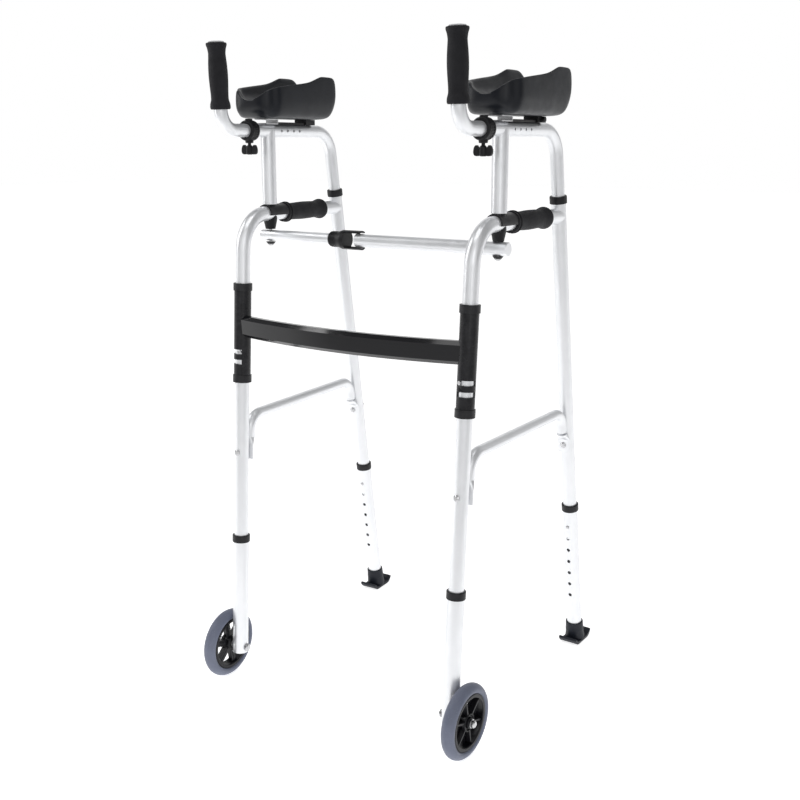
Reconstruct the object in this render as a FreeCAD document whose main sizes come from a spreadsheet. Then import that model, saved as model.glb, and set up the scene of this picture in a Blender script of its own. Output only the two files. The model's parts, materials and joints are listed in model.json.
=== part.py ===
import FreeCAD, Part
import math
import os
import Sketcher
from FreeCAD import Placement, Rotation, Vector

# Folding walking frame with forearm platforms.  Millimetres, +Z up, front (wheels) towards -Y,
# origin on the floor under the middle of the frame.  The right-hand half is modelled once, in the
# plane of its own side frame, and the left-hand half is its mirror image.

DIMENSIONS = {
    # tubes
    "tube_od": 25.4, "tube_wall": 1.5, "slide_gap": 0.1,
    "ext_od": 28.6, "upper_od": 22.2, "spigot_od": 19.0, "brace_od": 19.0,
    # side frame layout: leans in degrees, the rest along a leg axis or above the floor
    "half_width": 226.0, "toe_out": 2.0, "front_lean": 3.8, "rear_lean": 9.5, "rear_base": 486.0,
    "middle_y": 229.477, "floor_lift": 0.025,
    "grip_height": 854.0, "front_bend": 62.0, "front_leg_end": 208.0,
    "rear_leg_end": 236.0, "rear_leg_top": 896.0,
    "platform_height": 996.0, "platform_bend": 50.0, "platform_end": 84.0, "upper_insert": 60.0,
    "post_place": 132.0,
    # folding sleeves and crossbeam
    "sleeve_low": 565.0, "sleeve_high": 740.0, "sleeve_wall": 2.1, "cap_len": 9.0, "cap_od": 33.0,
    "slot_upper": 620.0, "slot_lower": 602.0, "slot_tall": 8.0, "slot_from": 36.0, "slot_sweep": 130.0,
    "beam_height": 664.0, "beam_tall": 37.0, "beam_deep": 20.0, "beam_bow": 30.0, "beam_round": 6.0,
    "button_dia": 7.0, "button_turn": 17.0,
    # adjustable legs
    "hole_pitch": 25.4, "hole_dia": 7.0, "hole_count": 7.0, "snap_dia": 6.4,
    "front_collar": 275.0, "rear_collar": 302.0, "collar_tall": 13.0, "collar_od": 32.0,
    "front_snap": 240.0, "rear_snap": 263.0, "front_ext_end": 53.0,
    # wheels and feet
    "wheel_dia": 127.0, "wheel_wide": 24.0, "wheel_place": 28.5, "tyre_deep": 15.0, "hub_dia": 26.0,
    "axle_dia": 7.9, "spoke_count": 6.0, "spoke_wide": 7.0,
    "foot_long": 70.0, "foot_wide": 38.0, "foot_thick": 5.0, "foot_rise": 12.0, "foot_collar": 34.0,
    # lower brace, measured in the side frame's plane
    "brace_front": 437.0, "brace_rear": 440.0, "brace_high": 500.0, "brace_bend": 30.0,
    "brace_neck": 24.0, "tab_thick": 6.0,
    # forearm platform
    "arm_front": 82.0, "arm_rear": 280.0, "arm_low": 1016.5, "arm_wide": 98.0, "trough_radius": 40.0,
    "trough_low": 1044.0, "wing_front": 1068.0, "wing_rear": 1092.0,
    "strip_thick": 4.0, "strip_wide": 20.0, "strip_long": 81.0,
    # handle
    "ring_wide": 20.0, "ring_od": 34.0, "ring_place": 80.0, "handle_place": 9.5, "handle_bend": 34.0,
    "handle_lean": 2.7, "grip_low": 33.0, "grip_long": 104.0, "grip_od": 33.0, "knob_span": 32.0,
    # horizontal hand grip
    "hand_front": 175.0, "hand_rear": 288.0, "hand_od": 32.0,
    # stabiliser bar
    "bar_height": 815.0, "bar_left_od": 19.0, "bar_right_od": 22.2, "bar_wall": 1.2,
    "bar_right_out": 16.0, "bar_left_out": 16.0, "bar_right_tip": 40.0, "bar_left_tip": 72.0,
    "pivot_dia": 6.0, "coupler_od": 33.0, "coupler_from": 94.0, "coupler_web": 60.0, "coupler_to": 29.0,
}

doc = FreeCAD.newDocument("walking_frame")
sheet = doc.addObject("Spreadsheet::Sheet", "dims")
for row, (alias, value) in enumerate(DIMENSIONS.items(), start=1):
    sheet.set("A%d" % row, alias)
    sheet.set("B%d" % row, repr(value))
    sheet.setAlias("B%d" % row, alias)
doc.recompute()


class Size:
    """A number together with the spreadsheet expression that it comes from."""

    def __init__(self, value, text):
        self.value, self.text = float(value), text

    def join(self, sign, other, value):
        return Size(value, "(%s %s %s)" % (self.text, sign, other.text))

    def __add__(self, other):
        other = as_size(other)
        return self.join("+", other, self.value + other.value)

    def __sub__(self, other):
        other = as_size(other)
        return self.join("-", other, self.value - other.value)

    def __mul__(self, other):
        other = as_size(other)
        return self.join("*", other, self.value * other.value)

    def __truediv__(self, other):
        other = as_size(other)
        return self.join("/", other, self.value / other.value)

    def __radd__(self, other):
        return as_size(other) + self

    def __rsub__(self, other):
        return as_size(other) - self

    def __rmul__(self, other):
        return as_size(other) * self

    def __neg__(self):
        return 0 - self


def as_size(number):
    return number if isinstance(number, Size) else Size(number, repr(float(number)))


def size(alias):
    return Size(DIMENSIONS[alias], "dims." + alias)


def sine(angle):
    return Size(math.sin(math.radians(angle.value)), "sin(%s * 1deg)" % angle.text)


def cosine(angle):
    return Size(math.cos(math.radians(angle.value)), "cos(%s * 1deg)" % angle.text)


def tangent(angle):
    return Size(math.tan(math.radians(angle.value)), "tan(%s * 1deg)" % angle.text)


# ---------------------------------------------------------------- sketches and features

def new_body(name):
    return doc.addObject("PartDesign::Body", name)


def new_sketch(body, plane="XY_Plane", lift=None):
    """A sketch on one of the body's own origin planes, moved along the plane's normal by lift."""
    sketch = body.newObject("Sketcher::SketchObject", body.Name + "_sketch")
    origin_plane = next(f for f in body.Origin.OriginFeatures if f.Role == plane)
    sketch.AttachmentSupport = [(origin_plane, "")]
    sketch.MapMode = "FlatFace"
    if lift is not None:
        sketch.AttachmentOffset = Placement(Vector(0, 0, lift.value), Rotation())
        sketch.setExpression("AttachmentOffset.Base.z", lift.text)
    return sketch


def constrain(sketch, kind, *where, to):
    """Adds one driving dimension and binds it to the spreadsheet."""
    to = as_size(to)
    datum = math.radians(to.value) if kind == "Angle" else to.value
    index = sketch.addConstraint(Sketcher.Constraint(kind, *where, datum))
    sketch.setExpression("Constraints[%d]" % index, to.text)


def circle(sketch, radius, x=0, y=0):
    radius, x, y = as_size(radius), as_size(x), as_size(y)
    centre = Vector(x.value, y.value, 0)
    edge = sketch.addGeometry(Part.Circle(centre, Vector(0, 0, 1), radius.value), False)
    constrain(sketch, "Radius", edge, to=radius)
    constrain(sketch, "DistanceX", -1, 1, edge, 3, to=x)
    constrain(sketch, "DistanceY", -1, 1, edge, 3, to=y)


def polygon(sketch, points):
    points = [(as_size(x), as_size(y)) for x, y in points]
    corners = [Vector(x.value, y.value, 0) for x, y in points]
    count = len(points)
    first = sketch.GeometryCount
    for i in range(count):
        sketch.addGeometry(Part.LineSegment(corners[i], corners[(i + 1) % count]), False)
    for i, (x, y) in enumerate(points):
        after = first + (i + 1) % count
        sketch.addConstraint(Sketcher.Constraint("Coincident", first + i, 2, after, 1))
        constrain(sketch, "DistanceX", -1, 1, first + i, 1, to=x)
        constrain(sketch, "DistanceY", -1, 1, first + i, 1, to=y)


def pad(body, sketch, length, midplane=False):
    feature = body.newObject("PartDesign::Pad", body.Name + "_pad")
    feature.Profile = sketch
    feature.Midplane = midplane
    feature.setExpression("Length", as_size(length).text)
    body.Tip = feature
    return feature


def pocket(body, sketch, length, midplane=False, reverse=False):
    feature = body.newObject("PartDesign::Pocket", body.Name + "_pocket")
    feature.Profile = sketch
    feature.Midplane = midplane
    feature.Reversed = reverse
    feature.setExpression("Length", as_size(length).text)
    body.Tip = feature
    return feature


def turned(name, profile, angle=360.0):
    """A body of revolution about its own Z axis, from (radius, height) corners."""
    body = new_body(name)
    sketch = new_sketch(body, "XZ_Plane")
    polygon(sketch, profile)
    feature = body.newObject("PartDesign::Revolution", name + "_turn")
    feature.Profile = sketch
    feature.ReferenceAxis = (sketch, ["V_Axis"])
    feature.setExpression("Angle", as_size(angle).text)
    body.Tip = feature
    return body


def straight_tube(name, outer, wall, low, high):
    """A tube along Z from low to high."""
    body = new_body(name)
    sketch = new_sketch(body, lift=as_size(low))
    circle(sketch, outer / 2)
    circle(sketch, outer / 2 - wall)
    pad(body, sketch, as_size(high) - low)
    return body


def bending_path(body, runs, bends):
    """A tube-bending schedule in the YZ plane: straight runs joined by arcs of (radius, turn).

    The path starts at the body's origin along +Z, and a positive turn bends it towards +Y.
    """
    path = new_sketch(body, "YZ_Plane")
    spot, heading = Vector(0, 0, 0), Size(90.0, "90.0")
    previous = None
    for i, run in enumerate(runs):
        run = as_size(run)
        angle = math.radians(heading.value)
        ahead = Vector(math.cos(angle), math.sin(angle), 0)
        line = path.addGeometry(Part.LineSegment(spot, spot + ahead * run.value), False)
        if previous is None:
            path.addConstraint(Sketcher.Constraint("Coincident", -1, 1, line, 1))
        else:
            path.addConstraint(Sketcher.Constraint("Tangent", previous[0], previous[1], line, 1))
        constrain(path, "Angle", line, to=heading)
        constrain(path, "Distance", line, to=run)
        spot = spot + ahead * run.value
        if i == len(bends):
            break
        radius, turn = (as_size(v) for v in bends[i])
        side = 1.0 if turn.value > 0 else -1.0
        centre = spot + Vector(math.sin(angle), -math.cos(angle), 0) * radius.value * side
        start = math.atan2(spot.y - centre.y, spot.x - centre.x)
        end = start - math.radians(turn.value)
        ring = Part.Circle(centre, Vector(0, 0, 1), radius.value)
        first, last = (end, start) if side > 0 else (start, end)
        arc = path.addGeometry(Part.ArcOfCircle(ring, first, last), False)
        enters, leaves = (2, 1) if side > 0 else (1, 2)
        path.addConstraint(Sketcher.Constraint("Tangent", line, 2, arc, enters))
        constrain(path, "Radius", arc, to=radius)
        previous = (arc, leaves)
        spot = centre + Vector(math.cos(end), math.sin(end), 0) * radius.value
        heading = heading - turn
    return path


def bent_tube(name, outer, wall, runs, bends):
    """A round tube swept along a bending schedule; a wall of None makes it solid."""
    body = new_body(name)
    path = bending_path(body, runs, bends)
    profile = new_sketch(body)
    circle(profile, outer / 2)
    if wall is not None:
        circle(profile, outer / 2 - wall)
    feature = body.newObject("PartDesign::AdditivePipe", name + "_pipe")
    feature.Profile = profile
    feature.Spine = (path, ["Edge%d" % (i + 1) for i in range(len(runs) + len(bends))])
    body.Tip = feature
    return body


# ---------------------------------------------------------------- primitives and booleans

def cylinder(name, radius, height, place=None, angle=360.0):
    shape = doc.addObject("Part::Cylinder", name)
    shape.setExpression("Radius", as_size(radius).text)
    shape.setExpression("Height", as_size(height).text)
    shape.setExpression("Angle", as_size(angle).text)
    shape.Placement = place or Placement()
    return shape


def box(name, long_x, long_y, long_z, place=None):
    shape = doc.addObject("Part::Box", name)
    shape.setExpression("Length", as_size(long_x).text)
    shape.setExpression("Width", as_size(long_y).text)
    shape.setExpression("Height", as_size(long_z).text)
    shape.Placement = place or Placement()
    return shape


def fuse(name, *shapes):
    joined = doc.addObject("Part::MultiFuse", name)
    joined.Shapes = list(shapes)
    joined.Refine = True
    return joined


def cut(name, base, tool):
    result = doc.addObject("Part::Cut", name)
    result.Base, result.Tool = base, tool
    result.Refine = True
    return result


def group(name, *shapes):
    """Separate solids that share one node."""
    together = doc.addObject("Part::Compound", name)
    together.Links = list(shapes)
    return together


def mirror(name, source):
    twin = doc.addObject("Part::Mirroring", name)
    twin.Source = source
    twin.Normal = Vector(1, 0, 0)
    return twin


def both_sides(name, shape):
    return group(name, shape, mirror(name + "_left", shape))


def at(x=0, y=0, z=0, turn=None):
    """A placement from sizes; turn is (axis, degrees)."""
    spot = Vector(*(as_size(v).value for v in (x, y, z)))
    spin = Rotation() if turn is None else Rotation(turn[0], as_size(turn[1]).value)
    return Placement(spot, spin)


X_AXIS, Y_AXIS, Z_AXIS = Vector(1, 0, 0), Vector(0, 1, 0), Vector(0, 0, 1)
ALONG_X = Rotation(Y_AXIS, 90)      # turns a piece built along Z so that it lies along +X
ALONG_Y = Rotation(X_AXIS, -90)     # and along +Y
ALONG_MINUS_Y = Rotation(X_AXIS, 90)

pieces = {}       # node name -> document object, the right-hand half and the middle
EXACT = 0.0001    # keeps faces that only touch from counting as an overlap
SCREW_R = 2.5
SCREW_BITE = 1.4    # how far the pad screws reach into the wall of the platform tube
PAD_SCREWS = (130.0, 243.0)     # where the arm pad's two screws stand along the platform tube


def keep(node, shape):
    shape.Label = node
    pieces[node] = shape
    return shape


def spin_place(x, y, z, rotation):
    return Placement(Vector(*(as_size(v).value for v in (x, y, z))), rotation)


# ---------------------------------------------------------------- axes of the side frame

tube_r = size("tube_od") / 2
bore_r = size("tube_od") / 2 + size("slide_gap")
front_lean, rear_lean = size("front_lean"), size("rear_lean")
front_axis = at(turn=(X_AXIS, -front_lean))                        # the front leg, up along local Z
rear_axis = at(y=size("rear_base"), turn=(X_AXIS, rear_lean))      # the rear leg


def front_y(height):
    return height * tangent(front_lean)


def rear_y(height):
    return size("rear_base") - height * tangent(rear_lean)


def on(axis, shape, local=None):
    """Places a shape on a leg axis."""
    shape.Placement = axis if local is None else axis.multiply(local)
    return shape


# ---------------------------------------------------------------- side tube: front leg, bend, grip bar

def make_side_tube():
    turn = 90 - front_lean
    corner = size("grip_height") / cosine(front_lean)
    setback = size("front_bend") * tangent(turn / 2)
    leg_run = corner - setback - size("front_leg_end")
    bar_run = rear_y(size("grip_height")) - front_y(size("grip_height")) - setback
    tube = bent_tube("side_tube_bent", size("tube_od"), size("tube_wall"),
                     [leg_run, bar_run], [(size("front_bend"), turn)])
    on(front_axis, tube, at(z=size("front_leg_end")))
    rear_tool = on(rear_axis, cylinder("side_tube_cope", tube_r + EXACT, size("rear_leg_top")))
    pivot_hole = cylinder("side_tube_pivot_hole", size("pivot_dia") / 2 + EXACT, 60,
                          at(y=size("post_place"), z=size("grip_height") - 30))
    brace_hole = cylinder("side_tube_brace_hole", 3 + EXACT, 60,
                          front_axis.multiply(spin_place(0, -30, size("brace_front"), ALONG_Y)))
    button_hole = cylinder("side_tube_button_hole", size("button_dia") / 2 + size("slide_gap"), 20,
                           front_axis.multiply(button_local(0)))
    snap_hole = cylinder("side_tube_snap_hole", size("snap_dia") / 2 + EXACT, 20,
                         front_axis.multiply(spin_place(0, 0, size("front_snap"), ALONG_Y)))
    holes = fuse("side_tube_holes", rear_tool, pivot_hole, brace_hole, button_hole, snap_hole)
    keep("side_tube", cut("side_tube", tube, holes))


def button_local(out):
    """The fold button's axis on the front leg, pointing out and turned towards the middle."""
    turn = Rotation(Z_AXIS, -size("button_turn").value)
    start = turn.multVec(Vector(0, -as_size(out).value, 0))
    return Placement(start + Vector(0, 0, size("slot_upper").value), turn.multiply(ALONG_MINUS_Y))


def make_rear_leg():
    tube = straight_tube("rear_leg_straight", size("tube_od"), size("tube_wall"),
                         size("rear_leg_end"), size("rear_leg_top"))
    on(rear_axis, tube)
    brace_hole = cylinder("rear_leg_brace_hole", 3 + EXACT, 60,
                          rear_axis.multiply(spin_place(0, -30, size("brace_rear"), ALONG_Y)))
    snap_hole = cylinder("rear_leg_snap_hole", size("snap_dia") / 2 + EXACT, 20,
                         rear_axis.multiply(spin_place(0, 0, size("rear_snap"), ALONG_MINUS_Y)))
    keep("rear_leg_tube", cut("rear_leg_tube", tube, fuse("rear_leg_holes", brace_hole, snap_hole)))
    lip = turned("rear_top_ring", [(size("upper_od") / 2 + EXACT, size("rear_leg_top")),
                                   (tube_r, size("rear_leg_top")),
                                   (tube_r, size("rear_leg_top") - 8),
                                   (tube_r + 2.2, size("rear_leg_top") - 8),
                                   (tube_r + 2.2, size("rear_leg_top") + 3.4),
                                   (tube_r + 1.4, size("rear_leg_top") + 4.6),
                                   (size("upper_od") / 2 + EXACT, size("rear_leg_top") + 4.6)])
    keep("rear_top_ferrule", on(rear_axis, lip))


# ---------------------------------------------------------------- forearm platform tubes

def make_platform():
    turn = -(90 - rear_lean)
    corner = size("platform_height") / cosine(rear_lean)
    setback = size("platform_bend") * tangent((90 - rear_lean) / 2)
    start = size("rear_leg_top") - size("upper_insert")
    rise = corner - setback - start
    level = rear_y(size("platform_height")) - setback - size("platform_end")
    tube = bent_tube("platform_bent", size("upper_od"), size("tube_wall"),
                     [rise, level], [(size("platform_bend"), turn)])
    on(rear_axis, tube, at(z=start))
    tool = [cylinder("platform_screw_hole_%d" % i, SCREW_R + EXACT, 40,
                     at(y=y, z=size("platform_height"))) for i, y in enumerate(PAD_SCREWS)]
    row = [cylinder("platform_side_hole_%d" % i, 2.2, 40,
                    spin_place(-20, 158 + 18 * i, size("platform_height"), ALONG_X)) for i in range(4)]
    keep("platform_tube", cut("platform_tube", tube, fuse("platform_holes", *(tool + row))))

    low = size("grip_height") + tube_r + 3.2
    post = straight_tube("post_straight", size("tube_od"), size("tube_wall"), low,
                         size("platform_height"))
    post.Placement = at(y=size("post_place"))
    cope = cylinder("post_cope", size("upper_od") / 2 + EXACT, 80,
                    spin_place(0, 96, size("platform_height"), ALONG_Y))
    keep("platform_post", cut("platform_post", post, cope))


# ---------------------------------------------------------------- saddle and spacers of the post

def make_saddle():
    length, front = 56.0, 117.0
    shell = cylinder("saddle_shell", tube_r + 3.2, length,
                     spin_place(0, front, size("grip_height"), ALONG_Y))
    bar = cylinder("saddle_bar", tube_r + EXACT, length,
                   spin_place(0, front, size("grip_height"), ALONG_Y))
    lower = box("saddle_lower", 60, length, 40,
                at(x=-30, y=front, z=size("grip_height") - 43))
    pin = cylinder("saddle_pin_hole", size("pivot_dia") / 2 + EXACT, 40,
                   at(y=size("post_place"), z=size("grip_height")))
    plug = cylinder("saddle_plug", tube_r - size("tube_wall") - EXACT, 30,
                    at(y=size("post_place"), z=size("grip_height")))
    hollow = cylinder("saddle_plug_hollow", tube_r - size("tube_wall") - 3, 40,
                      at(y=size("post_place"), z=size("grip_height") + tube_r + 3.2))
    body = fuse("saddle_body", shell, plug)
    keep("post_saddle", cut("post_saddle", body,
                            fuse("saddle_tools", bar, lower, pin, hollow)))


def make_spacers():
    """The double saddle between grip bar and stabiliser bar, and the cup under the stabiliser bar."""
    bar_r = size("bar_right_od") / 2
    block = turned("spacer_block", [(0, size("bar_height")), (9, size("bar_height")),
                                    (9, size("bar_height") + 12), (12.2, size("grip_height") - 12),
                                    (12.2, size("grip_height")), (0, size("grip_height"))])
    block.Placement = at(y=size("post_place"))
    cup = turned("spacer_cup", [(0, size("bar_height") - bar_r - 4), (6, size("bar_height") - bar_r - 4),
                                (10, size("bar_height") - bar_r + 1), (10, size("bar_height") - 6),
                                (0, size("bar_height") - 6)])
    cup.Placement = at(y=size("post_place"))
    pin = cylinder("spacer_pin_hole", size("pivot_dia") / 2 + EXACT, 80,
                   at(y=size("post_place"), z=size("bar_height") - 30))
    grip_bar = cylinder("spacer_grip_bar", tube_r + EXACT, 60,
                        spin_place(0, size("post_place") - 30, size("grip_height"), ALONG_Y))
    stabiliser = turned("spacer_stabiliser_sweep", [(0, -bar_r - 0.3), (40, -bar_r - 0.3),
                                                    (40, bar_r + 0.3), (0, bar_r + 0.3)])
    stabiliser.Placement = at(y=size("post_place"), z=size("bar_height"))
    tools = fuse("spacer_tools", pin, grip_bar, stabiliser)
    keep("bar_spacers", cut("bar_spacers", group("spacer_pair", block, cup), tools))


# ---------------------------------------------------------------- lower brace

def squashed_end(name, axis, along, side):
    """A flattened tube end lying on a leg, and its transition up to the round tube.

    side is +1 on the rear face of the front leg and -1 on the front face of the rear leg.
    """
    flat_y = (tube_r + size("tab_thick") / 2) * side
    round_y = (tube_r + size("brace_od") / 2) * side
    sections = []
    for part, (up, y) in enumerate(((-15, flat_y), (11, flat_y),
                                        (DIMENSIONS["brace_neck"], round_y))):
        if part < 2:
            section = doc.addObject("Part::Ellipse", "%s_section_%d" % (name, part))
            section.MajorRadius = 13.5
            section.setExpression("MinorRadius", (size("tab_thick") / 2).text)
        else:
            section = doc.addObject("Part::Circle", "%s_section_%d" % (name, part))
            section.setExpression("Radius", (size("brace_od") / 2).text)
        section.Placement = axis.multiply(at(y=y, z=along + up))
        sections.append(section)
    lofts = []
    for part in (0, 1):
        loft = doc.addObject("Part::Loft", "%s_loft_%d" % (name, part))
        loft.Sections = sections[part:part + 2]
        loft.Solid = True
        lofts.append(loft)
    return lofts


def make_brace():
    """A bent tube whose squashed ends are bolted to the facing sides of the two legs."""
    away = tube_r + size("brace_od") / 2
    low_front = size("brace_front") + size("brace_neck")
    low_rear = size("brace_rear") + size("brace_neck")
    front_turn, rear_turn = 90 - front_lean, 90 - rear_lean
    bend = size("brace_bend")
    set_front, set_rear = bend * tangent(front_turn / 2), bend * tangent(rear_turn / 2)
    high = size("brace_high")
    corner_front = (high - away * sine(-front_lean)) / cosine(front_lean)
    corner_rear = (high - away * sine(-rear_lean)) / cosine(rear_lean)
    level = (rear_y(high) - away / cosine(rear_lean)) - (front_y(high) + away / cosine(front_lean))
    tube = bent_tube("brace_bent", size("brace_od"), None,
                     [high / cosine(front_lean) - away * tangent(front_lean) - set_front - low_front,
                      level - set_front - set_rear,
                      high / cosine(rear_lean) - away * tangent(rear_lean) - set_rear - low_rear],
                     [(bend, front_turn), (bend, rear_turn)])
    on(front_axis, tube, at(y=away, z=low_front))
    ends = squashed_end("brace_front_end", front_axis, size("brace_front"), 1)
    ends += squashed_end("brace_rear_end", rear_axis, size("brace_rear"), -1)
    holes = fuse("brace_holes",
                 cylinder("brace_front_hole", 3 + EXACT, 60,
                          front_axis.multiply(spin_place(0, -30, size("brace_front"), ALONG_Y))),
                 cylinder("brace_rear_hole", 3 + EXACT, 60,
                          rear_axis.multiply(spin_place(0, -30, size("brace_rear"), ALONG_Y))))
    keep("lower_brace", cut("lower_brace", fuse("brace_body", tube, *ends), holes))


def bolt(name, radius, low, high, head_r, head, nut):
    """A domed bolt along Z: shank from low to high, its head outside low and its nut outside high."""
    return turned(name, [(0, low - head), (head_r * 0.55, low - head), (head_r, low - head * 0.35),
                         (head_r, low), (radius, low), (radius, high), (head_r * 0.92, high),
                         (head_r * 0.92, high + nut), (radius, high + nut), (radius, high + nut + 1.5),
                         (0, high + nut + 1.5)])


def make_bolts():
    reach = tube_r + size("tab_thick")
    front = bolt("brace_front_bolt", 3, -tube_r, reach, 5.6, 3.4, 4.5)
    on(front_axis, front, spin_place(0, 0, size("brace_front"), ALONG_Y))
    rear = bolt("brace_rear_bolt", 3, -reach, tube_r, 5.6, 3.4, 4.5)
    on(rear_axis, rear, spin_place(0, 0, size("brace_rear"), ALONG_Y))
    cup_low = size("bar_height") - size("bar_right_od") / 2 - 4
    saddle_top = size("grip_height") + tube_r + 3.2
    pivot = bolt("pivot_bolt", 3, cup_low, saddle_top - EXACT, 5.6, 3.4, 3.0)
    pivot.Placement = at(y=size("post_place"))
    keep("frame_bolts", group("frame_bolts", front, rear, pivot))


def make_hand_grip():
    low, high = size("hand_front"), size("hand_rear")
    r = size("hand_od") / 2
    grip = turned("hand_grip", [(tube_r + EXACT, low), (r + 3, low), (r + 3, low + 4), (r - 1, low + 7),
                                (r - 0.6, low + 30), (r + 0.6, low + 62), (r - 0.4, high - 22),
                                (r + 2.2, high - 9), (r + 2.6, high - 4), (r + 1, high),
                                (tube_r + EXACT, high)])
    grip.Placement = spin_place(0, 0, size("grip_height"), ALONG_Y)
    keep("hand_grip", grip)


# ---------------------------------------------------------------- sleeves, caps and crossbeam

def sleeve_place():
    return at(x=size("half_width"), turn=(X_AXIS, -front_lean))


def make_sleeves():
    outer = 2 * (bore_r + size("sleeve_wall"))
    cap = size("cap_len")
    low, high = size("sleeve_low") + cap, size("sleeve_high") - cap
    tube = straight_tube("sleeve_straight", outer, size("sleeve_wall"), low, high)
    tube.Placement = sleeve_place()
    slots = []
    for i, height in enumerate((size("slot_upper"), size("slot_lower"))):
        half = size("slot_tall") / 2
        slot = turned("sleeve_slot_%d" % i, [(9, height - half), (20, height - half),
                                             (20, height + half), (9, height + half)],
                      size("slot_sweep"))
        slot.Placement = sleeve_place().multiply(
            Placement(Vector(), Rotation(Z_AXIS, -90 - size("slot_from").value)))
        slots.append(slot)
    keep("sleeve_tubes", both_sides("sleeve_tubes", cut("sleeve_tube", tube,
                                                        fuse("sleeve_slots", *slots))))
    caps = []
    for i, (near, far) in enumerate(((low + 4, size("sleeve_low")), (high - 4, size("sleeve_high")))):
        step = low if i == 0 else high
        ring = turned("sleeve_cap_%d" % i, [(bore_r, far), (size("cap_od") / 2, far),
                                            (size("cap_od") / 2, near), (outer / 2 + EXACT, near),
                                            (outer / 2 + EXACT, step), (bore_r, step)])
        ring.Placement = sleeve_place()
        caps.append(ring)
    keep("sleeve_end_caps", both_sides("sleeve_end_caps", group("sleeve_caps", *caps)))


def make_crossbeam():
    half, bow = size("half_width"), size("beam_bow")
    radius = (half * half + bow * bow) / (2 * bow)
    deep, tall, soft = size("beam_deep") / 2, size("beam_tall") / 2, size("beam_round")
    inner, outer = radius - deep, radius + deep
    arch = turned("beam_arch", [(inner, soft - tall), (inner + soft, -tall), (outer - soft, -tall),
                                (outer, soft - tall), (outer, tall - soft), (outer - soft, tall),
                                (inner + soft, tall), (inner, tall - soft)],
                  2 * math.degrees(math.asin(half.value / radius.value)))
    arch.Tip.Midplane = True
    end_y = front_y(size("beam_height"))
    arch.Placement = at(y=end_y - bow + radius, z=size("beam_height"), turn=(Z_AXIS, -90))
    sleeve_r = bore_r + size("sleeve_wall") + EXACT
    tools = []
    for side in (-1, 1):
        tool = cylinder("beam_sleeve_%d" % (side + 2), sleeve_r, size("sleeve_high"))
        tool.Placement = at(x=size("half_width") * side, turn=(X_AXIS, -front_lean))
        keeper = box("beam_outside_%d" % (side + 2), 60, 200, 120)
        keeper.Placement = at(x=size("half_width") * side + (side - 1) * 30, y=-60,
                              z=size("beam_height") - 60)
        tools += [tool, keeper]
    keep("crossbeam", cut("crossbeam", arch, fuse("beam_tools", *tools)))


def make_fold_button():
    r = size("button_dia") / 2
    button = turned("fold_button", [(0, 8.2), (4.4, 8.2), (4.4, 10.0), (r, 10.0), (r, 15.6),
                                    (r - 0.9, 16.4), (0, 16.6)])
    button.Placement = front_axis.multiply(button_local(0))
    keep("fold_button", button)


# ---------------------------------------------------------------- telescopic legs

def extension(name, axis, low, collar, snap, holes, across):
    """The outer tube that slides on a leg, with its row of holes, and its collar."""
    top = collar + 4
    tube = straight_tube(name + "_straight", size("ext_od"), size("ext_od") / 2 - bore_r, low, top)
    on(axis, tube)
    row = [cylinder("%s_hole_%d" % (name, i), size("hole_dia") / 2, 20,
                    axis.multiply(spin_place(0, 0, snap - size("hole_pitch") * i, across)))
           for i in range(holes)]
    ext_r, half = size("ext_od") / 2, size("collar_tall") / 2
    ring = turned(name + "_collar", [(ext_r + EXACT, collar - half),
                                     (size("collar_od") / 2, collar - half),
                                     (size("collar_od") / 2, collar + half - 1),
                                     (size("collar_od") / 2 - 1, collar + half), (bore_r, collar + half),
                                     (bore_r, top + EXACT), (ext_r + EXACT, top + EXACT)])
    on(axis, ring)
    return tube, row, ring


def snap_button(name, axis, height, across):
    """The leaf spring inside a leg and the button that it pushes out through both tubes."""
    leaf = box(name + "_leaf", 7, 0.8, 46, axis.multiply(
        Placement(Vector(), across.multiply(Rotation(X_AXIS, -90))).multiply(at(x=-3.5, y=7.6))))
    leaf.Placement.Base = axis.multVec(Vector(0, 0, height.value)) + (
        leaf.Placement.Base - axis.Base)
    r = size("snap_dia") / 2
    pin = turned(name + "_pin", [(0, 8.0), (r, 8.0), (r, 15.4), (r * 0.7, 16.6), (0, 17.2)])
    on(axis, pin, spin_place(0, 0, height, across))
    return fuse(name, leaf, pin)


def make_front_extension():
    tube, row, ring = extension("front_ext", front_axis, size("front_ext_end"), size("front_collar"),
                                size("front_snap"), 5, ALONG_Y)
    axle = cylinder("front_ext_axle_hole", size("axle_dia") / 2 + EXACT, 60,
                    front_axis.multiply(spin_place(-30, 0, axle_along(), ALONG_X)))
    keep("front_extension", cut("front_extension", tube, fuse("front_ext_holes", axle, *row)))
    keep("front_collar", ring)


def make_rear_extension():
    tube, row, ring = extension("rear_ext", rear_axis, size("foot_collar") - 4, size("rear_collar"),
                                size("rear_snap"), int(DIMENSIONS["hole_count"]), ALONG_MINUS_Y)
    keep("rear_extension", cut("rear_extension", tube, fuse("rear_ext_holes", *row)))
    keep("rear_collar", ring)


def make_snap_buttons():
    keep("snap_buttons", group("snap_buttons",
                               snap_button("front_snap", front_axis, size("front_snap"), ALONG_Y),
                               snap_button("rear_snap", rear_axis, size("rear_snap"), ALONG_MINUS_Y)))


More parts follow.
